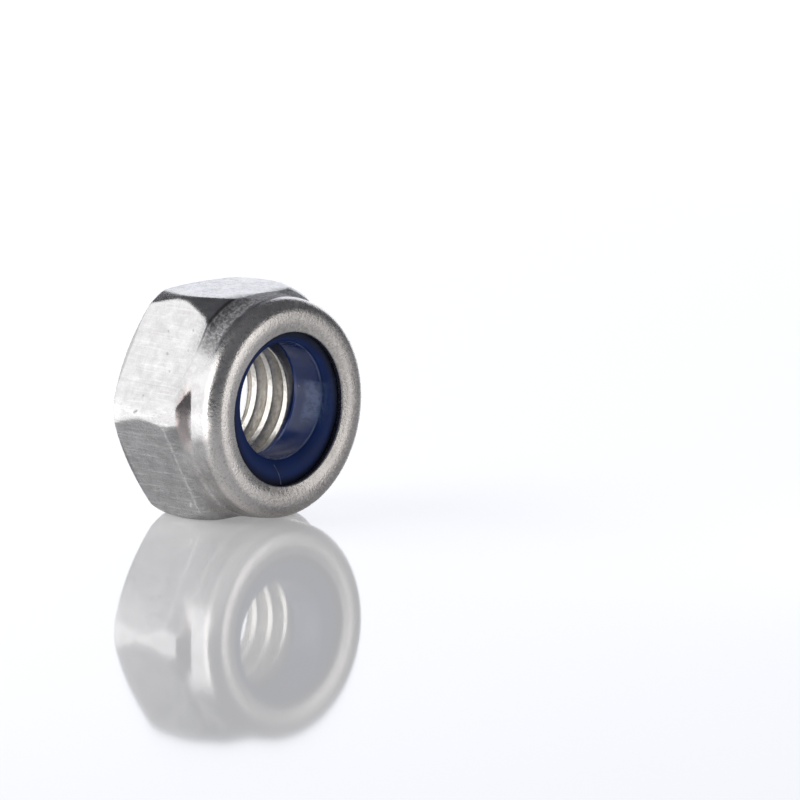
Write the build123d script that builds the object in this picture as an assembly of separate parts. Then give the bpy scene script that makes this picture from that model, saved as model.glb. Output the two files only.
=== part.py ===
from build123d import *
import os
from math import radians, tan

# Nylon insert lock nut, M8, lying on one flat of its hexagon.
# The body is one cold-formed piece of stainless steel: a hexagon, a shoulder and a thin collar
# whose wall is rolled in over a ring of nylon. The ring is smooth and grips the bolt's thread.
# Each section is drawn upright, as (radius, height above the bearing face), and turned about +Z.
# Last, the nut is laid down: its axis lies along Y, the collar faces -Y and it rests on z = 0.

# Hexagon: the forming left its corners barrelled, from the bearing chamfer to the shoulder's cone
across_flats = 12.9
bearing_diameter = 12.26
bearing_edge_rounding = 0.12
bearing_chamfer_angle = 30.0
bearing_corner_diameter = 14.2
barrel_diameter = 14.86
barrel_height = 2.95
barrel_rounding = 4.5
shoulder_diameter = 13.96
shoulder_height = 5.1
shoulder_angle = 47.0
corner_rounding = 0.3

# Above this height the flats run off inwards, into the collar
run_off_height = 4.7
run_off_angle = 15.0

# Collar, whose rim is rolled in over the ring; crest and lip are the rim's top and inner edge
nut_height = 7.7
collar_diameter = 12.84
collar_taper = 0.14
collar_wall = 0.97
roll_radius = 0.95
crest_inset = 1.42
crest_rounding = 1.4
lip_overlap = 1.03
lip_drop = 0.16
lip_thickness = 0.34
lip_rounding = 0.11

# Seat of the ring inside the collar, and the slope of its roof up to the lip
seat_height = 4.75
seat_roof_rise = 0.65

# Ring of nylon: its face bulges inside the lip and falls in a funnel to the bore
ring_bore_diameter = 6.74
ring_bulge_angle = 14.0
ring_funnel_angle = 35.0

# Shares of the width of the ring's face, from lip to bore: how far the forming of the rim has
# pushed the bore off the nut's axis, how deep the funnel ends, and how round its edges are
bore_shift_share = 0.41
funnel_drop_share = 0.21
face_rounding_share = 0.28

# Thread M8 x 1.25, bored to its minor diameter
thread_minor_diameter = 6.85
thread_end_chamfer = 0.55
countersink_diameter = 8.9
countersink_angle = 90.0

# Most of a straight run that the roundings at its two ends may use up
RUN_SHARE = 0.95
NO_CUT = 1e-6


def turned(corners):
    """Solid turned about +Z from a closed outline of corners (radius, height, rounding)."""
    places = [Vector(radius, height) for radius, height, rounding in corners]
    roundings = [rounding for radius, height, rounding in corners]
    count = len(corners)
    runs = [places[(i + 1) % count] - place for i, place in enumerate(places)]
    half_turns = [radians(run.get_angle(runs[i - 1])) / 2 for i, run in enumerate(runs)]
    cuts = [rounding * tan(half_turn) for rounding, half_turn in zip(roundings, half_turns)]
    # Where two roundings need more than the run between them, both give way in proportion
    needed = [max(cuts[i] + cuts[(i + 1) % count], NO_CUT) for i in range(count)]
    shares = [RUN_SHARE * run.length / need for run, need in zip(runs, needed)]
    fitted = [rounding * min(1, shares[i - 1], shares[i]) for i, rounding in enumerate(roundings)]
    outline = FilletPolyline(*places, radius=fitted, close=True)
    return revolve(Plane.XZ * make_face(outline), Axis.Z)


# Radii and heights that follow from the sizes above
seat_diameter = collar_diameter - collar_wall * 2
crest_diameter = collar_diameter - crest_inset * 2
lip_diameter = seat_diameter - lip_overlap * 2
lip_top = nut_height - lip_drop
lip_foot = lip_top - lip_thickness
seat_top = lip_foot - seat_roof_rise
bearing_chamfer_width = (bearing_corner_diameter - bearing_diameter) / 2
bearing_chamfer_height = bearing_chamfer_width * tan(radians(bearing_chamfer_angle))
wall_middle = (collar_diameter - collar_wall) / 2
cone_top = shoulder_height + (shoulder_diameter / 2 - wall_middle) * tan(radians(shoulder_angle))
countersink_depth = (countersink_diameter - thread_minor_diameter) / 2 / tan(radians(countersink_angle / 2))

barrel = turned(
    [
        (0, 0, 0),
        (bearing_diameter / 2, 0, bearing_edge_rounding),
        (bearing_corner_diameter / 2, bearing_chamfer_height, corner_rounding),
        (barrel_diameter / 2, barrel_height, barrel_rounding),
        (shoulder_diameter / 2, shoulder_height, corner_rounding),
        (wall_middle, cone_top, 0),
        (0, cone_top, 0),
    ]
)
flats = RegularPolygon(across_flats / 2, 6, major_radius=False)
hexagon = extrude(flats, run_off_height)
hexagon += extrude(Pos(0, 0, run_off_height) * flats, cone_top - run_off_height, taper=run_off_angle)

collar = turned(
    [
        (0, run_off_height, 0),
        (collar_diameter / 2, run_off_height, 0),
        (collar_diameter / 2 - collar_taper, nut_height, roll_radius),
        (crest_diameter / 2, nut_height, crest_rounding),
        (lip_diameter / 2, lip_top, lip_rounding),
        (lip_diameter / 2, lip_foot, 0),
        (0, lip_foot, 0),
    ]
)
hollow = turned(
    [
        (0, 0, 0),
        (countersink_diameter / 2, 0, 0),
        (thread_minor_diameter / 2, countersink_depth, 0),
        (thread_minor_diameter / 2, seat_height - thread_end_chamfer, 0),
        (thread_minor_diameter / 2 + thread_end_chamfer, seat_height, 0),
        (seat_diameter / 2, seat_height, 0),
        (seat_diameter / 2, seat_top, 0),
        (lip_diameter / 2, lip_foot, 0),
        (0, lip_foot, 0),
    ]
)
nut_body = (barrel & hexagon) + collar - hollow

ring_blank = turned(
    [
        (0, seat_height, 0),
        (wall_middle, seat_height, 0),
        (wall_middle, lip_foot, 0),
        (lip_diameter / 2, lip_foot, 0),
        (0, lip_foot + lip_diameter / 2 * tan(radians(ring_bulge_angle)), 0),
    ]
)
ring_face_width = (lip_diameter - ring_bore_diameter) / 2
ring_face_rounding = ring_face_width * face_rounding_share
funnel_foot = lip_foot - ring_face_width * funnel_drop_share
funnel_rise = seat_diameter / 2 * tan(radians(ring_funnel_angle))
ring_bore = turned(
    [
        (0, seat_height, 0),
        (ring_bore_diameter / 2, seat_height, 0),
        (ring_bore_diameter / 2, funnel_foot, ring_face_rounding),
        (ring_bore_diameter / 2 + seat_diameter / 2, funnel_foot + funnel_rise, 0),
        (0, funnel_foot + funnel_rise, 0),
    ]
)
ring_cut = ring_blank - Pos(0, ring_face_width * bore_shift_share) * ring_bore
bulge_ridge = ring_cut.edges().filter_by(GeomType.BSPLINE)
nylon_insert = fillet(bulge_ridge, ring_face_rounding) - nut_body

laid_down = Pos(0, nut_height / 2, across_flats / 2) * Rot(90, 0, 0)
os.makedirs("parts", exist_ok=True)
for name, solid in {"nut_body": nut_body, "nylon_insert": nylon_insert}.items():
    export_step(laid_down * solid, f"parts/{name}.step")
    print(name, "volume", round(solid.volume, 3), "valid", solid.is_valid, "solids", len(solid.solids()))
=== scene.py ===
import bpy
from math import ceil, cos, exp, hypot, pi, radians, sin, tan
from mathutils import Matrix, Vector


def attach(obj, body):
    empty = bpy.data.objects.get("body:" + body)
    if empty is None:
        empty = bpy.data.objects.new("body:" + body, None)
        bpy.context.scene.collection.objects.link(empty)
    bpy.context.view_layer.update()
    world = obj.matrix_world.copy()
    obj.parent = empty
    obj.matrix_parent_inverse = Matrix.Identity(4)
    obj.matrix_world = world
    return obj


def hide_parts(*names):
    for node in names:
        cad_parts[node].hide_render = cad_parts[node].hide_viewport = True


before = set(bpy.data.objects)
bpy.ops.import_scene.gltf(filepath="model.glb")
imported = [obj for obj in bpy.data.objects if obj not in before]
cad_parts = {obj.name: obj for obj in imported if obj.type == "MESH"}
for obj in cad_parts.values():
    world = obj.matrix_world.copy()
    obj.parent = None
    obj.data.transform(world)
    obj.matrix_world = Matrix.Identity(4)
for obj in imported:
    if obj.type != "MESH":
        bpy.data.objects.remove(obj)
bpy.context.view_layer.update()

# Nylon insert lock nut, lying on one flat of its hexagon.
# Sections are drawn as (radius, height above the bearing face) in millimetres. The nut's axis lies
# along Y, its collar faces -Y, and both pieces are turned about that axis as the solids are.
MM = 0.001

# Sizes of the body, in millimetres, as in the solids
ACROSS_FLATS = 12.9
BEARING_DIAMETER = 12.26
BEARING_CHAMFER_ANGLE = 30.0
BEARING_CORNER_DIAMETER = 14.2
BARREL_CORNER_DIAMETER = 14.86
BARREL_CORNER_HEIGHT = 2.95
SHOULDER_DIAMETER = 13.96
SHOULDER_HEIGHT = 5.1
SHOULDER_ANGLE = 47.0
RUN_OFF_ANGLE = 15.0
NUT_HEIGHT = 7.7
COLLAR_DIAMETER = 12.84
COLLAR_TAPER = 0.14
ROLL_RADIUS = 0.95
CREST_DIAMETER = 10.0
CREST_ROUNDING = 1.4
LIP_DIAMETER = 8.84
LIP_DROP = 0.16
LIP_THICKNESS = 0.34
LIP_ROUNDING = 0.11
LIP_TOP = NUT_HEIGHT - LIP_DROP
LIP_FOOT = LIP_TOP - LIP_THICKNESS
SEAT_DIAMETER = 10.9
SEAT_HEIGHT = 4.75
SEAT_WALL_HEIGHT = 1.8
SEAT_TOP = SEAT_HEIGHT + SEAT_WALL_HEIGHT
THREAD_MINOR_DIAMETER = 6.85
THREAD_END_CHAMFER = 0.55
COUNTERSINK_DIAMETER = 8.9
COUNTERSINK_ANGLE = 90.0

# Sizes of the ring: its face bulges inside the lip and falls in a funnel to the bore, which the
# forming of the rim has pushed upwards
RING_BORE_DIAMETER = 6.74
RING_BORE_SHIFT = 0.43
RING_BULGE_ANGLE = 14.0
RING_FUNNEL_ANGLE = 35.0
RING_FUNNEL_DROP = 0.22
RING_RIDGE_SOFTENING = 0.5
RING_MOUTH_ROUNDING = 0.294

# The thread itself, M8 x 1.25, right-handed
THREAD_DIAMETER = 8.0
THREAD_PITCH = 1.25
THREAD_FLANK_ANGLE = 30.0
THREAD_SOFTENING = 0.05
THREAD_START_TURN = 0.25

# How softly the forming left the edges: the barrel's middle, its ends, the flats and the foot
BARREL_SOFTENING = 0.3
END_SOFTENING = 0.1
FLAT_SOFTENING = 0.1
FOOT_SOFTENING = 0.12

# Where each flat begins to run off towards the collar, by the flat's angle in degrees
RUN_OFF_HEIGHTS = {30: 4.8, 90: 5.1, 150: 4.9, 210: 4.4, 270: 4.5, 330: 4.7}
RUN_OFF_SOFTENING = 0.5

# How much higher the shoulder sits at the left corner, and over what angle in degrees
LEFT_SHOULDER_LIFT = 0.22
LEFT_SHOULDER_SPREAD = 18.0

# Painted highlights, bright lines where the edges catch light: their half width, and their
# brightness at the end of each flat, along the flats' edges and at the collar's foot, on the nut's
# low side
HIGHLIGHT_LINE_WIDTH = 0.09
END_HIGHLIGHT = {30: 0.4, 90: 0.0, 150: 0.0, 210: 0.75, 270: 0.3, 330: 0.4}
EDGE_HIGHLIGHT = 0.15
FOOT_HIGHLIGHT = 0.85
FOOT_HIGHLIGHT_HEIGHT = 5.8

# Angles from the middle of a flat to its edge, in degrees, closer together near the edge
HALF_FLAT_ANGLES = (
    0, 2.5, 5, 7.5, 10, 12.5, 15, 17, 19, 20.5, 21.5, 22.3, 23, 23.6, 24.2, 24.8, 25.3, 25.8,
    26.2, 26.6, 27, 27.3, 27.6, 27.9, 28.2, 28.5, 28.8, 29.1, 29.4, 29.7,
)

# Rows of points on the body. Those up its wall are finer at the bearing chamfer and where the flats
# run off, and they end below the rim's roll, at a share of its radius from the nut's top
BEARING_FACE_ROWS = 4
ROW_STEP = 0.09
FINE_ROW_STEP = 0.04
CHAMFER_ROWS_TOP = 1.0
RUN_OFF_ROWS_FOOT = 4.1
RUN_OFF_ROWS_TOP = 6.0
WALL_TOP_SHARE = 1.25
THREAD_ROWS = 120

# Points of the rim's outline: one every few degrees of a rounding, and how many belong to the roll
ROUNDING_STEP = 9.0
ROLL_POINTS = 13

# Most of a straight run that the roundings at its two ends may use up
RUN_SHARE = 0.95
NO_CUT = 1e-6

# Columns and rows of points on the ring
RING_COLUMNS = 360
RING_SEAT_ROWS = 4
RING_ROOF_ROWS = 3
RING_FACE_ROWS = 40
RING_MOUTH_ROWS = 10
RING_BORE_ROWS = 8

# Camera: where the photograph was taken from, and the point it looks at, beside the nut
CAMERA_AZIMUTH = -46.56
CAMERA_ELEVATION = 10.3
CAMERA_DISTANCE = 1500.0
PHOTO_SCALE = 17.54
IMAGE_SIZE = 800
AIM_RIGHT = 9.02
AIM_UP = 6.42

# Marks of handling on the body, in mm: start, end, width, grey tone and strength
MARKS = (
    ((-7.35, 1.43, 6.62), (-7.33, 1.3, 6.7), 0.16, 0.15, 0.8),
    ((-4.82, 1.16, 11.01), (-4.85, 1.1, 10.98), 0.1, 0.25, 0.6),
    ((-4.66, -0.66, 11.28), (-4.7, -0.7, 11.22), 0.1, 0.25, 0.6),
    ((-5.46, 0.62, 9.89), (-5.5, 0.55, 9.82), 0.12, 0.25, 0.7),
    ((-5.27, -0.85, 10.22), (-5.3, -0.9, 10.17), 0.1, 0.25, 0.5),
    ((-6.81, 1.23, 7.56), (-6.83, 1.2, 7.52), 0.1, 0.25, 0.6),
    ((-5.98, -0.03, 8.99), (-6.0, -0.1, 8.96), 0.1, 0.25, 0.6),
    ((-6.46, 2.9, 8.17), (-6.48, -0.5, 8.13), 0.08, 0.35, 0.4),
    ((-5.7, -1.41, 9.48), (-6.25, -1.14, 8.53), 0.08, 0.35, 0.4),
    ((-4.27, -0.06, 0.95), (-4.4, -0.2, 1.15), 0.14, 0.92, 0.8),
)

# Scratch across the ring's face and a speck on its bore's wall, in mm: start, end and width
RING_MARKS = (
    ((-0.83, -3.33, 3.29), (-0.55, -3.466, 2.7), 0.05),
    ((-0.55, -3.466, 2.7), (-0.29, -3.368, 2.11), 0.05),
    ((3.36, -1.3, 7.05), (3.36, -1.27, 7.06), 0.08),
)

# Floor: half its side in metres, and how much brighter than lit the camera and the metal see it
FLOOR_REACH = 3
CAMERA_FLOOR_LIFT = 0.24
METAL_FLOOR_LIFT = 0.13

# The dim room around the nut
WORLD_COLOUR = (0.115, 0.118, 0.13, 1)


def soft_min(a, b, width):
    """The smaller of two lengths, with a rounded change over the given width."""
    overlap = max(width - abs(a - b), 0.0) / width
    return min(a, b) - overlap * overlap * width / 4


def soft_max(a, b, width):
    return -soft_min(-a, -b, width)


def bell(distance):
    """1 at no distance, falling to almost 0 at 2 on either side."""
    return exp(-distance * distance)


def rounded_outline(corners):
    """Points along a closed outline of corners (radius, height, rounding, rows on the next run).

    Where two roundings need more than the run between them, both give way in proportion.
    """
    count = len(corners)
    places = [Vector((corner[0], corner[1])) for corner in corners]
    runs = [places[(i + 1) % count] - places[i] for i in range(count)]
    turns = [runs[i - 1].angle_signed(runs[i]) for i in range(count)]
    cuts = [corners[i][2] * tan(abs(turns[i]) / 2) for i in range(count)]
    needed = [max(cuts[i] + cuts[(i + 1) % count], NO_CUT) for i in range(count)]
    shares = [RUN_SHARE * run.length / need for run, need in zip(runs, needed)]
    cuts = [cuts[i] * min(1.0, shares[i - 1], shares[i]) for i in range(count)]
    points = []
    for i in range(count):
        arrive = places[i] - runs[i - 1].normalized() * cuts[i]
        leave = places[i] + runs[i].normalized() * cuts[i]
        if cuts[i] > NO_CUT:
            steps = max(2, ceil(abs(turns[i]) / radians(ROUNDING_STEP)))
            for k in range(steps):
                share = k / steps
                tangent_end = places[i].lerp(leave, share)
                points.append(arrive.lerp(places[i], share).lerp(tangent_end, share))
        rows = corners[i][3]
        after = (i + 1) % count
        end = places[after] - runs[i].normalized() * cuts[after]
        for k in range(rows):
            points.append(leave.lerp(end, k / rows))
    return points


def mesh_object(name, rings, painted_highlight=()):
    """Closed piece from rings of points, each ring joined to the next and the last to the first.

    The painted highlight of each point, where given, is kept for the material to read.
    """
    columns = len(rings[0])
    verts = [point for ring in rings for point in ring]
    faces = []
    for i in range(len(rings)):
        here = i * columns
        there = (i + 1) % len(rings) * columns
        for j in range(columns):
            k = (j + 1) % columns
            faces.append((here + j, there + j, there + k, here + k))
    mesh = bpy.data.meshes.new(name)
    mesh.from_pydata(verts, [], faces)
    mesh.update()
    mesh.shade_smooth()
    if painted_highlight:
        mesh.attributes.new("painted_highlight", "FLOAT", "POINT").data.foreach_set("value", painted_highlight)
    piece = bpy.data.objects.new(name, mesh)
    bpy.context.scene.collection.objects.link(piece)
    return piece


def lying(x, z, height):
    """Point on the lying nut, in metres, from its place across the axis and height in mm."""
    return x * MM, (NUT_HEIGHT / 2 - height) * MM, (ACROSS_FLATS / 2 + z) * MM


def place(radius, angle, height):
    """The same, from the radius and the angle about the axis."""
    return lying(radius * cos(angle), radius * sin(angle), height)


def flat_of(angle):
    """The flat that an angle lies on: its middle in degrees, and how far the angle is from it."""
    sector = (angle - radians(30)) % (pi / 3)
    if sector > pi / 6:
        sector -= pi / 3
    flat = round((angle - radians(30)) / (pi / 3))
    return (30 + 60 * flat) % 360, sector


def hexagon_radius(angle, height):
    """Distance from the axis to the hexagon's wall, which runs off inwards near the collar."""
    middle, sector = flat_of(angle)
    run_off = soft_max(0.0, height - RUN_OFF_HEIGHTS[middle], RUN_OFF_SOFTENING)
    return (ACROSS_FLATS / 2 - run_off * tan(radians(RUN_OFF_ANGLE))) / cos(sector)


def barrel_radius(angle, height):
    """Radius of the outline of the hexagon: bearing chamfer, barrel and shoulder."""
    bearing = BEARING_DIAMETER / 2
    bearing_corner = BEARING_CORNER_DIAMETER / 2
    middle = BARREL_CORNER_DIAMETER / 2
    slope = tan(radians(BEARING_CHAMFER_ANGLE))
    chamfer = bearing + height / slope
    chamfer_height = (bearing_corner - bearing) * slope
    lower_rise = (middle - bearing_corner) / (BARREL_CORNER_HEIGHT - chamfer_height)
    upper_fall = (middle - SHOULDER_DIAMETER / 2) / (SHOULDER_HEIGHT - BARREL_CORNER_HEIGHT)
    lower = middle + (height - BARREL_CORNER_HEIGHT) * lower_rise
    upper = middle - (height - BARREL_CORNER_HEIGHT) * upper_fall
    from_left = (angle % (2 * pi) - pi) / radians(LEFT_SHOULDER_SPREAD)
    shoulder_height = SHOULDER_HEIGHT + LEFT_SHOULDER_LIFT * bell(from_left)
    shoulder = SHOULDER_DIAMETER / 2 - (height - shoulder_height) / tan(radians(SHOULDER_ANGLE))
    barrel = soft_min(lower, upper, BARREL_SOFTENING)
    return soft_min(soft_min(chamfer, barrel, END_SOFTENING), shoulder, END_SOFTENING)


def collar_radius(height):
    """Radius of the collar's side, which tapers a little towards the rim."""
    cone_width = (SHOULDER_DIAMETER - COLLAR_DIAMETER) / 2
    foot = SHOULDER_HEIGHT + cone_width * tan(radians(SHOULDER_ANGLE))
    return COLLAR_DIAMETER / 2 - COLLAR_TAPER * max(height - foot, 0.0) / (NUT_HEIGHT - foot)


def wall_radius(angle, height):
    """Distance from the axis to the outer wall below the rim."""
    barrel = barrel_radius(angle, height)
    hexagon = soft_min(barrel, hexagon_radius(angle, height), FLAT_SOFTENING)
    if height < BARREL_CORNER_HEIGHT:
        return hexagon
    whole_flat = ACROSS_FLATS / 2 / cos(flat_of(angle)[1])
    return min(soft_max(hexagon, collar_radius(height), FOOT_SOFTENING), whole_flat)


def painted_edge_highlight(angle, height):
    """Brightness of the highlights painted along the edges of the outer wall, from 0 to 1."""
    barrel = barrel_radius(angle, height)
    flat = hexagon_radius(angle, height)
    middle = flat_of(angle)[0]
    past_end = height - RUN_OFF_HEIGHTS[middle]
    past_foot = height - FOOT_HIGHLIGHT_HEIGHT
    edge = EDGE_HIGHLIGHT * bell((barrel - flat) / HIGHLIGHT_LINE_WIDTH) if past_end < 0 else 0
    end = END_HIGHLIGHT[middle] * bell(past_end / HIGHLIGHT_LINE_WIDTH) if flat < barrel else 0
    foot = FOOT_HIGHLIGHT * bell(past_foot / HIGHLIGHT_LINE_WIDTH / 2) * max(-sin(angle), 0)
    return max(edge, end, foot)


def body_angles():
    """Angles about the axis, closer together near the hexagon's corners."""
    left_half = [-angle for angle in HALF_FLAT_ANGLES[:0:-1]]
    sector = [*left_half, *HALF_FLAT_ANGLES, 30]
    return [radians(60 * k - 90 + angle) for k in range(6) for angle in sector]


def thread_radius(angle, height):
    """Radius of the tapped bore: thread, countersink and the chamfer at the ring's seat."""
    turn = (height / THREAD_PITCH - angle / (2 * pi) - THREAD_START_TURN) % 1.0
    from_crest = min(turn, 1 - turn) * THREAD_PITCH
    # ISO profile: the groove's floor is 1/8 of the pitch wide, the full crest 1/4
    flank_slope = tan(radians(THREAD_FLANK_ANGLE))
    full_crest = THREAD_DIAMETER / 2 - THREAD_PITCH * 5 / 16 / flank_slope
    flank = full_crest + (from_crest - THREAD_PITCH / 8) / flank_slope
    radius = soft_max(THREAD_MINOR_DIAMETER / 2, flank, THREAD_SOFTENING)
    radius = soft_min(THREAD_DIAMETER / 2, radius, THREAD_SOFTENING)
    sink = COUNTERSINK_DIAMETER / 2 - height * tan(radians(COUNTERSINK_ANGLE / 2))
    end = THREAD_MINOR_DIAMETER / 2 + THREAD_END_CHAMFER - (SEAT_HEIGHT - height)
    return soft_max(soft_max(radius, sink, THREAD_SOFTENING), end, THREAD_SOFTENING)


def body_rings():
    """Rings of points of the body: bearing face, wall, rim, seat and thread; and their painted
    highlights.
    """
    angles = body_angles()
    rings = []
    painted_highlight = []

    def add(outline):
        for radius, height in outline:
            rings.append([place(radius, angle, height) for angle in angles])

    sink = COUNTERSINK_DIAMETER / 2
    face_step = (BEARING_DIAMETER / 2 - sink) / BEARING_FACE_ROWS
    add([(sink + face_step * k, 0) for k in range(BEARING_FACE_ROWS)])
    painted_highlight.extend([0.0] * len(rings) * len(angles))
    wall_top = NUT_HEIGHT - ROLL_RADIUS * WALL_TOP_SHARE
    height = 0.0
    while height < wall_top:
        rings.append([place(wall_radius(angle, height), angle, height) for angle in angles])
        painted_highlight.extend([painted_edge_highlight(angle, height) for angle in angles])
        fine = height < CHAMFER_ROWS_TOP or RUN_OFF_ROWS_FOOT < height < RUN_OFF_ROWS_TOP
        height += FINE_ROW_STEP if fine else ROW_STEP
    rim = rounded_outline(
        [
            (COLLAR_DIAMETER / 2, SHOULDER_HEIGHT, 0, 1),
            (collar_radius(NUT_HEIGHT), NUT_HEIGHT, ROLL_RADIUS, 2),
            (CREST_DIAMETER / 2, NUT_HEIGHT, CREST_ROUNDING, 3),
            (LIP_DIAMETER / 2, LIP_TOP, LIP_ROUNDING, 3),
            (LIP_DIAMETER / 2, LIP_FOOT, 0, 4),
            (SEAT_DIAMETER / 2, SEAT_TOP, 0, 2),
            (SEAT_DIAMETER / 2, SEAT_HEIGHT, 0, 3),
        ]
    )
    # The roll's first points lie beside the wall's last rows and are left out
    lowest = wall_top + ROW_STEP / 2
    add([point for point in rim[1:ROLL_POINTS] if point[1] > lowest])
    add(rim[ROLL_POINTS:])
    for k in range(THREAD_ROWS):
        height = SEAT_HEIGHT * (1 - k / THREAD_ROWS)
        rings.append([place(thread_radius(angle, height), angle, height) for angle in angles])
    painted_highlight.extend([0.0] * (len(rings) * len(angles) - len(painted_highlight)))
    return rings, painted_highlight


def ring_face_height(x, z):
    """Height of the ring's face at a point across the nut: bulge at the lip, funnel at the bore."""
    bulge = LIP_FOOT + (LIP_DIAMETER / 2 - hypot(x, z)) * tan(radians(RING_BULGE_ANGLE))
    from_bore = hypot(x, z - RING_BORE_SHIFT) - RING_BORE_DIAMETER / 2
    funnel = LIP_FOOT - RING_FUNNEL_DROP + from_bore * tan(radians(RING_FUNNEL_ANGLE))
    return soft_min(bulge, funnel, RING_RIDGE_SOFTENING)


def ring_rings():
    """Rings of points of the nylon insert, from the bore's seat end round outside to its mouth."""
    seat = SEAT_DIAMETER / 2
    bore = RING_BORE_DIAMETER / 2
    lip = LIP_DIAMETER / 2
    angles = [2 * pi * k / RING_COLUMNS for k in range(RING_COLUMNS)]
    rings = []

    def shares(rows):
        return [k / rows for k in range(rows)]

    def add(radius, shift, height):
        """One more ring, its centre shifted upwards; height may be a function of x and z."""
        points = [(radius * cos(angle), shift + radius * sin(angle)) for angle in angles]
        rings.append([(x, z, height(x, z) if callable(height) else height) for x, z in points])

    for share in shares(RING_SEAT_ROWS):
        add(bore + (seat - bore) * share, RING_BORE_SHIFT * (1 - share), SEAT_HEIGHT)
    for share in shares(RING_SEAT_ROWS):
        add(seat, 0, SEAT_HEIGHT + SEAT_WALL_HEIGHT * share)
    for share in shares(RING_ROOF_ROWS):
        add(seat + (lip - seat) * share, 0, SEAT_TOP + (LIP_FOOT - SEAT_TOP) * share)
    # The mouth's rounding runs from the funnel into the bore
    turn = radians(90 - RING_FUNNEL_ANGLE)
    cut = RING_MOUTH_ROUNDING * tan(turn / 2)
    mouth = bore + cut * cos(radians(RING_FUNNEL_ANGLE))
    for share in shares(RING_FACE_ROWS):
        add(lip + (mouth - lip) * share, RING_BORE_SHIFT * share, ring_face_height)
    mouth_foot = LIP_FOOT - RING_FUNNEL_DROP - cut
    for share in shares(RING_MOUTH_ROWS):
        angle = turn * (1 - share)
        height = mouth_foot + RING_MOUTH_ROUNDING * sin(angle)
        add(bore + RING_MOUTH_ROUNDING * (1 - cos(angle)), RING_BORE_SHIFT, height)
    for share in shares(RING_BORE_ROWS):
        add(bore, RING_BORE_SHIFT, mouth_foot + (SEAT_HEIGHT - mouth_foot) * share)
    return [[lying(x, z, height) for x, z, height in points] for points in rings]


def add_node(tree, kind, **values):
    """New node; values are its own settings, or the inputs of that name."""
    node = tree.nodes.new(kind)
    for name, value in values.items():
        if hasattr(node, name):
            setattr(node, name, value)
        else:
            plug(tree, value, node.inputs[name.replace("_", " ")])
    return node


def plug(tree, value, socket):
    """Link a node's output to a socket, or set the socket to a plain value."""
    if isinstance(value, bpy.types.NodeSocket):
        tree.links.new(value, socket)
    else:
        socket.default_value = value


def maths(tree, operation, *values):
    """Result of a sum or a function of node outputs or plain values."""
    node = add_node(tree, "ShaderNodeMath", operation=operation)
    for value, socket in zip(values, node.inputs):
        plug(tree, value, socket)
    return node.outputs["Value"]


def product(tree, first, *others):
    """All the values multiplied."""
    for value in others:
        first = maths(tree, "MULTIPLY", first, value)
    return first


def inverse(tree, value):
    """1 where the value is 0, and 0 where it is 1."""
    return maths(tree, "SUBTRACT", 1.0, value)


def ramp(tree, value, low, high, to_low=0.0, to_high=1.0):
    """Smooth change from one value to another while the input goes from low to high."""
    node = add_node(tree, "ShaderNodeMapRange", interpolation_type="SMOOTHSTEP", Value=value)
    limits = {"From Min": low, "From Max": high, "To Min": to_low, "To Max": to_high}
    for name, limit in limits.items():
        plug(tree, limit, node.inputs[name])
    return node.outputs["Result"]


def fall(tree, value, low, high, to_high=0.0):
    """The other way round: 1 up to low, and less from there to high."""
    return ramp(tree, value, low, high, 1.0, to_high)


def noise(tree, vector, scale, detail=2.0, roughness=0.5):
    """Cloudy pattern from 0 to 1, mostly between 0.3 and 0.7."""
    values = {"Scale": scale, "Detail": detail, "Roughness": roughness}
    return add_node(tree, "ShaderNodeTexNoise", Vector=vector, **values).outputs["Fac"]


def stretched(tree, vector, x, y, z):
    """The vector with its three parts scaled."""
    node = add_node(tree, "ShaderNodeMapping", vector_type="POINT", Vector=vector)
    node.inputs["Scale"].default_value = (x, y, z)
    return node.outputs["Vector"]


def colour_mix(tree, share, first, second):
    """The first colour where the share is 0, the second where it is 1."""
    node = add_node(tree, "ShaderNodeMix", data_type="RGBA")
    plug(tree, share, node.inputs["Factor"])
    for colour, name in ((first, "A"), (second, "B")):
        linked = isinstance(colour, bpy.types.NodeSocket)
        plug(tree, colour if linked else (*colour, 1), node.inputs[name])
    return node.outputs["Result"]


def new_material(name):
    """New material, its node tree and its shader."""
    material = bpy.data.materials.new(name)
    material.use_nodes = True
    tree = material.node_tree
    return material, tree, tree.nodes["Principled BSDF"]


def nut_coordinates(tree):
    """Point on the nut in millimetres, and its height, radius and angle about the axis."""
    point = add_node(tree, "ShaderNodeTexCoord").outputs["Object"]
    millimetres = stretched(tree, point, 1 / MM, 1 / MM, 1 / MM)
    parts = add_node(tree, "ShaderNodeSeparateXYZ", Vector=millimetres)
    x = parts.outputs["X"]
    z = maths(tree, "SUBTRACT", parts.outputs["Z"], ACROSS_FLATS / 2)
    height = maths(tree, "SUBTRACT", NUT_HEIGHT / 2, parts.outputs["Y"])
    squares = maths(tree, "ADD", product(tree, x, x), product(tree, z, z))
    radius = maths(tree, "SQRT", squares)
    angle = maths(tree, "ARCTAN2", z, x)
    return millimetres, height, radius, angle


def band(tree, value, low, high, soft):
    """1 between two values and 0 outside them, changing over a soft width."""
    return product(tree, ramp(tree, value, low - soft, low), fall(tree, value, high, high + soft))


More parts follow.
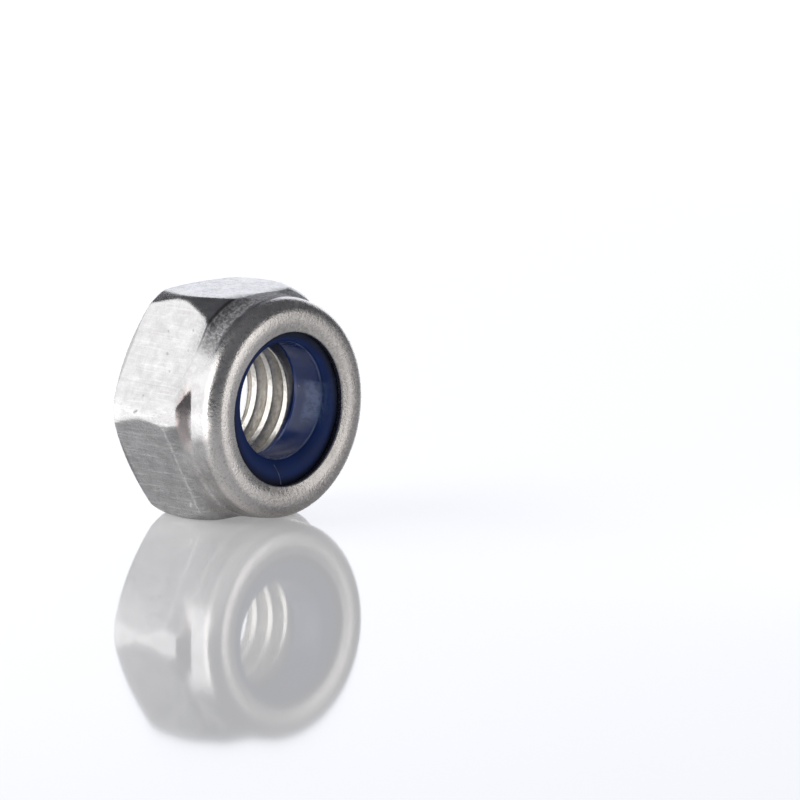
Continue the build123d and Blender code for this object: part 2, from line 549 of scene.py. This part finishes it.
def mark(tree, point, start, end, width):
    """1 on a straight mark between two points on the nut, in mm, fading over its width."""
    origin = Vector(start)
    run = Vector(end) - origin
    from_start = add_node(tree, "ShaderNodeVectorMath", operation="SUBTRACT")
    plug(tree, point, from_start.inputs[0])
    from_start.inputs[1].default_value = origin
    along = add_node(tree, "ShaderNodeVectorMath", operation="DOT_PRODUCT")
    tree.links.new(from_start.outputs["Vector"], along.inputs[0])
    along.inputs[1].default_value = run / run.length_squared
    share = add_node(tree, "ShaderNodeClamp", Value=along.outputs["Value"]).outputs["Result"]
    nearest = add_node(tree, "ShaderNodeVectorMath", operation="SCALE")
    nearest.inputs[0].default_value = run
    tree.links.new(share, nearest.inputs["Scale"])
    apart = add_node(tree, "ShaderNodeVectorMath", operation="DISTANCE")
    tree.links.new(from_start.outputs["Vector"], apart.inputs[0])
    tree.links.new(nearest.outputs["Vector"], apart.inputs[1])
    return fall(tree, apart.outputs["Value"], 0.0, width)


def steel_material():
    """Cold-formed stainless steel: drawn streaks on the flats, mottled shoulder with painted
    glints, grained rim with a painted highlight at the left, painted highlights along edges,
    painted shade at the seat end.
    """
    material, tree, shader = new_material("steel")
    point, height, radius, angle = nut_coordinates(tree)
    rise = maths(tree, "SINE", angle)
    to_right = maths(tree, "COSINE", angle)

    # Patterns; the stretched ones run along the nut's axis, and stains run round it
    blotches = noise(tree, point, 1.3, 6.0, 0.6)
    patches = noise(tree, point, 0.8, 3.0, 0.55)
    grain = noise(tree, point, 5.0, 3.0, 0.6)
    fine_grain = noise(tree, point, 8.0)
    machining = noise(tree, point, 4.0)
    speckle = noise(tree, point, 5.0, 4.0, 0.75)
    dark_speckle = inverse(tree, speckle)
    streaks = noise(tree, stretched(tree, point, 7.0, 0.35, 7.0), 1.0, 4.0, 0.6)
    scratches = noise(tree, stretched(tree, point, 24.0, 0.9, 24.0), 1.0, 2.0, 0.6)
    dark_scratches = inverse(tree, scratches)
    stains = noise(tree, stretched(tree, point, 1.2, 4.0, 1.2), 1.0, 4.0, 0.65)

    # Places on the nut, each 1 inside and 0 elsewhere
    outside = ramp(tree, radius, 5.6, 6.0)
    upper_side = ramp(tree, rise, 0.5, 0.75)
    low_side = fall(tree, rise, -0.7, -0.1)
    chamfer = product(tree, outside, fall(tree, height, 0.35, 0.5))
    on_hexagon = product(tree, outside, fall(tree, height, 4.6, 5.4))
    drawn = product(tree, on_hexagon, fall(tree, rise, -0.3, 0.2, 0.3))
    shoulder_line = product(tree, outside, upper_side, band(tree, height, 5.3, 5.36, 0.07))
    on_shoulder = product(tree, outside, upper_side, band(tree, height, 5.5, 6.4, 0.3))
    left_corner = fall(tree, to_right, -0.99, -0.94)
    left_hollow = product(tree, left_corner, band(tree, height, 5.35, 5.85, 0.1))
    low_collar = product(tree, low_side, outside, ramp(tree, height, 4.8, 5.6))
    dark_band = product(tree, outside, band(tree, height, 7.0, 7.3, 0.12))
    on_rim = product(tree, ramp(tree, height, 6.7, 7.2), ramp(tree, radius, 4.3, 4.4))
    painted_left_rim_highlight = product(tree, on_rim, fall(tree, to_right, -0.8, -0.1))
    in_bore = product(tree, fall(tree, radius, 4.45, 4.55), fall(tree, height, 4.8, 4.9))
    painted_seat_shade = product(tree, in_bore, ramp(tree, height, 4.15, 4.35))
    # Painted highlights: bright lines along the flats' ends and edges and at the collar's foot,
    # from the mesh
    painted_highlight = add_node(tree, "ShaderNodeAttribute", attribute_name="painted_highlight").outputs["Fac"]

    # Colour: grey blotches, then for each place where and how much of a pattern has which colour
    blotchy = ramp(tree, blotches, 0.3, 0.7)
    tint = colour_mix(tree, blotchy, (0.43, 0.42, 0.42), (0.58, 0.575, 0.575))
    for where, pattern, low, high, share, colour in (
        (on_hexagon, patches, 0.5, 0.7, 0.45, (0.7, 0.695, 0.69)),
        (on_hexagon, patches, 0.3, 0.5, 0.3, (0.4, 0.395, 0.395)),
        (drawn, streaks, 0.48, 0.75, 0.7, (0.84, 0.83, 0.82)),
        (drawn, scratches, 0.6, 0.75, 0.4, (0.85, 0.84, 0.83)),
        (drawn, dark_scratches, 0.6, 0.75, 0.6, (0.22, 0.21, 0.21)),
        (chamfer, patches, -0.5, 0.5, 0.6, (0.25, 0.245, 0.24)),
        # Light speckle on the shoulder's top: mottled grain, partly painted glints
        (on_shoulder, speckle, 0.46, 0.62, 0.8, (0.9, 0.9, 0.92)),
        (on_shoulder, dark_speckle, 0.5, 0.66, 0.7, (0.2, 0.185, 0.195)),
        (dark_band, speckle, 0.5, 0.64, 0.6, (0.85, 0.83, 0.83)),
        (dark_band, stains, 0.3, 0.6, 0.7, (0.56, 0.48, 0.48)),
        (left_hollow, stains, -0.4, 0.6, 0.9, (0.66, 0.58, 0.56)),
        (shoulder_line, stains, 0.0, 0.5, 0.8, (0.1, 0.095, 0.1)),
        (low_collar, stains, 0.35, 0.65, 0.6, (0.4, 0.35, 0.315)),
        (on_rim, blotches, -0.5, 0.6, 0.75, (0.68, 0.65, 0.62)),
        # Painted highlight: the rim's left side made lighter, where its crest catches the light
        (painted_left_rim_highlight, blotches, -0.5, 0.6, 0.8, (0.92, 0.89, 0.86)),
        (on_rim, speckle, 0.5, 0.66, 0.5, (0.88, 0.85, 0.81)),
        (on_rim, dark_speckle, 0.5, 0.66, 0.45, (0.34, 0.32, 0.3)),
        (painted_highlight, grain, 0.3, 0.55, 0.8, (0.95, 0.94, 0.93)),
    ):
        amount = product(tree, where, ramp(tree, pattern, low, high, 0.0, share))
        tint = colour_mix(tree, amount, tint, colour)
    for start, end, width, tone, strength in MARKS:
        amount = product(tree, mark(tree, point, start, end, width), strength)
        tint = colour_mix(tree, amount, tint, (tone, tone * 0.98, tone * 0.97))
    uneven = ramp(tree, machining, 0.3, 0.7)
    turned = colour_mix(tree, uneven, (0.6, 0.575, 0.53), (0.8, 0.775, 0.735))
    tint = colour_mix(tree, in_bore, tint, turned)
    # Painted shade in the recess at the bore's seat end, darkening the thread's end
    tint = colour_mix(tree, product(tree, painted_seat_shade, 0.85), tint, (0.1, 0.1, 0.11))
    plug(tree, tint, shader.inputs["Base Color"])
    shader.inputs["Metallic"].default_value = 1.0

    # Roughness: uneven all over, a little higher in the bore, and scaly on the shoulder
    rough = ramp(tree, blotches, 0.25, 0.75, 0.2, 0.32)
    for more in (
        ramp(tree, grain, 0.3, 0.7, -0.03, 0.05),
        product(tree, in_bore, 0.08),
        product(tree, on_shoulder, ramp(tree, speckle, 0.35, 0.65, 0.25, 0.5)),
    ):
        rough = maths(tree, "ADD", rough, more)
    plug(tree, rough, shader.inputs["Roughness"])

    # Relief in tenths of a millimetre
    bumps = product(tree, grain, 0.08)
    for where, pattern, depth in (
        (drawn, streaks, 0.18),
        (on_shoulder, speckle, 0.85),
        (on_rim, fine_grain, 0.15),
        (in_bore, machining, 0.2),
    ):
        bumps = maths(tree, "ADD", bumps, product(tree, where, pattern, depth))
    bump = add_node(tree, "ShaderNodeBump", Strength=1.0, Distance=0.1 * MM, Height=bumps)
    plug(tree, bump.outputs["Normal"], shader.inputs["Normal"])
    return material


def nylon_material():
    """Dark blue nylon, semi-gloss: satin on its face, with a rubbed mouth, a scratch across the
    face, painted shade beside the lip and a painted highlight on the bore's wall.
    """
    material, tree, shader = new_material("nylon")
    point, height, radius, angle = nut_coordinates(tree)
    cloud = noise(tree, point, 0.9, 3.0)
    grain = noise(tree, point, 12.0, 3.0, 0.6)
    scratches = noise(tree, stretched(tree, point, 6.0, 1.6, 2.4), 1.0, 3.0, 0.65)

    # Places on the ring: its face, the painted shade beside the lip, the light line where the mouth
    # was rubbed, and a painted highlight, streaked like scratches, on the bore's wall at the right
    on_face = ramp(tree, height, 6.85, 7.0)
    painted_lip_shade = product(tree, on_face, ramp(tree, radius, 3.8, 4.35))
    mouth_line = band(tree, height, 6.86, 6.92, 0.05)
    rubbed = product(tree, mouth_line, ramp(tree, cloud, 0.3, 0.55, 0.5, 0.95))
    at_right = product(tree, ramp(tree, angle, -0.55, -0.2), fall(tree, angle, 0.27, 0.33))
    bore_highlight_place = product(tree, band(tree, height, 5.9, 6.8, 0.5), at_right)
    painted_bore_highlight = product(tree, bore_highlight_place, ramp(tree, scratches, 0.3, 0.65, 0.2, 0.9))

    cloudy = ramp(tree, cloud, 0.3, 0.7)
    tint = colour_mix(tree, cloudy, (0.009, 0.042, 0.21), (0.014, 0.055, 0.27))
    # Painted shade: the face darkened towards the lip, where the lip shades it
    tint = colour_mix(tree, product(tree, painted_lip_shade, 0.9), tint, (0.003, 0.005, 0.012))
    tint = colour_mix(tree, rubbed, tint, (0.28, 0.36, 0.55))
    # Painted highlight on the bore's wall at the right, streaked like scratches
    tint = colour_mix(tree, painted_bore_highlight, tint, (0.22, 0.33, 0.62))
    for start, end, width in RING_MARKS:
        tint = colour_mix(tree, mark(tree, point, start, end, width), tint, (0.3, 0.35, 0.5))
    plug(tree, tint, shader.inputs["Base Color"])
    satin = product(tree, on_face, 0.3)
    rough = maths(tree, "ADD", ramp(tree, cloud, 0.3, 0.7, 0.14, 0.22), satin)
    plug(tree, rough, shader.inputs["Roughness"])
    shader.inputs["Specular IOR Level"].default_value = 0.3
    bump = add_node(tree, "ShaderNodeBump", Strength=0.3, Distance=0.02 * MM, Height=grain)
    plug(tree, bump.outputs["Normal"], shader.inputs["Normal"])
    return material


def floor_material():
    """Pale glossy board, which the camera and the metal see lifted a little towards white."""
    material, tree, shader = new_material("floor")
    shader.inputs["Base Color"].default_value = (0.9, 0.9, 0.91, 1)
    shader.inputs["Roughness"].default_value = 0.05
    shader.inputs["IOR"].default_value = 2.0
    path = add_node(tree, "ShaderNodeLightPath")
    for_camera = product(tree, path.outputs["Is Camera Ray"], CAMERA_FLOOR_LIFT)
    for_metal = product(tree, path.outputs["Is Glossy Ray"], METAL_FLOOR_LIFT)
    glow = add_node(tree, "ShaderNodeEmission", Color=(1, 1, 1, 1))
    plug(tree, maths(tree, "ADD", for_camera, for_metal), glow.inputs["Strength"])
    total = add_node(tree, "ShaderNodeAddShader")
    tree.links.new(shader.outputs["BSDF"], total.inputs[0])
    tree.links.new(glow.outputs["Emission"], total.inputs[1])
    tree.links.new(total.outputs["Shader"], tree.nodes["Material Output"].inputs["Surface"])
    return material


def area_lamp(name, width, depth, radiance, colour=(1, 1, 1)):
    """Even lit panel, in metres, which the camera doesn't see."""
    lamp_data = bpy.data.lights.new(name, "AREA")
    lamp_data.shape = "RECTANGLE"
    lamp_data.size = width
    lamp_data.size_y = depth
    lamp_data.energy = radiance * width * depth * pi
    lamp_data.color = colour
    lamp = bpy.data.objects.new(name, lamp_data)
    lamp.visible_camera = False
    bpy.context.scene.collection.objects.link(lamp)
    return lamp


def soft_panel(name, azimuth, distance, width, bottom, top, radiance, colour=(1, 1, 1)):
    """Upright lit panel facing the nut; its azimuth is counted from the camera, to the right."""
    lamp = area_lamp(name, width, top - bottom, radiance, colour)
    turn = radians(CAMERA_AZIMUTH + azimuth)
    towards = Vector((sin(turn), -cos(turn), 0))
    lamp.location = towards * distance + Vector((0, 0, (bottom + top) / 2))
    lamp.rotation_euler = towards.to_track_quat("Z", "Y").to_euler()


def lying_panel(name, azimuth, near, far, width, radiance):
    """Lit panel just above the floor, from a near to a far distance; azimuth as above."""
    lamp = area_lamp(name, width, far - near, radiance)
    turn = radians(CAMERA_AZIMUTH + azimuth)
    towards = Vector((sin(turn), -cos(turn), 0))
    lamp.location = towards * (near + far) / 2 + Vector((0, 0, 0.1 * MM))
    lamp.rotation_euler = (pi, 0, turn)


def make_camera():
    """Camera at the photograph's viewpoint, aimed beside the nut."""
    azimuth = radians(CAMERA_AZIMUTH)
    elevation = radians(CAMERA_ELEVATION)
    back = Vector((sin(azimuth) * cos(elevation), -cos(azimuth) * cos(elevation), sin(elevation)))
    right = Vector((cos(azimuth), sin(azimuth), 0))
    up = back.cross(right)
    aim = (right * AIM_RIGHT + up * AIM_UP) * MM
    camera_data = bpy.data.cameras.new("camera")
    camera_data.lens = PHOTO_SCALE * CAMERA_DISTANCE / IMAGE_SIZE * camera_data.sensor_width
    camera_data.clip_start = 0.1
    camera_data.clip_end = 10
    camera = bpy.data.objects.new("camera", camera_data)
    camera.location = aim + back * CAMERA_DISTANCE * MM
    camera.rotation_euler = back.to_track_quat("Z", "Y").to_euler()
    bpy.context.scene.collection.objects.link(camera)
    bpy.context.scene.camera = camera


steel = steel_material()
nylon = nylon_material()
body = mesh_object("body", *body_rings())
body.data.materials.append(steel)
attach(body, "root")
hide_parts("nut_body")
ring = mesh_object("ring", ring_rings())
ring.data.materials.append(nylon)
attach(ring, "root")
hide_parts("nylon_insert")

floor_data = bpy.data.meshes.new("floor")
corners = [(x * FLOOR_REACH, y * FLOOR_REACH, 0) for x, y in ((-1, -1), (1, -1), (1, 1), (-1, 1))]
floor_data.from_pydata(corners, [], [(0, 1, 2, 3)])
floor = bpy.data.objects.new("floor", floor_data)
bpy.context.scene.collection.objects.link(floor)
floor.data.materials.append(floor_material())

world = bpy.data.worlds.new("world")
bpy.context.scene.world = world
world.use_nodes = True
world.node_tree.nodes["Background"].inputs["Color"].default_value = WORLD_COLOUR

# Panels in metres: azimuth, distance, width, bottom, top, radiance and colour of an upright one
soft_panel("left_softbox", -88, 0.11, 0.17, 0.0, 0.118, 1.7)
soft_panel("back_panel", 180, 0.30, 0.50, 0.0, 0.15, 1.4, (0.92, 0.94, 1))
soft_panel("right_card", 76, 0.05, 0.022, 0.0, 0.02, 1.1, (1, 0.97, 0.95))
# Azimuth, near and far end, width and radiance of the one on the floor
lying_panel("left_floor_panel", -80, 0.015, 0.105, 0.09, 0.9)
bpy.context.scene.view_settings.view_transform = "Standard"
make_camera()
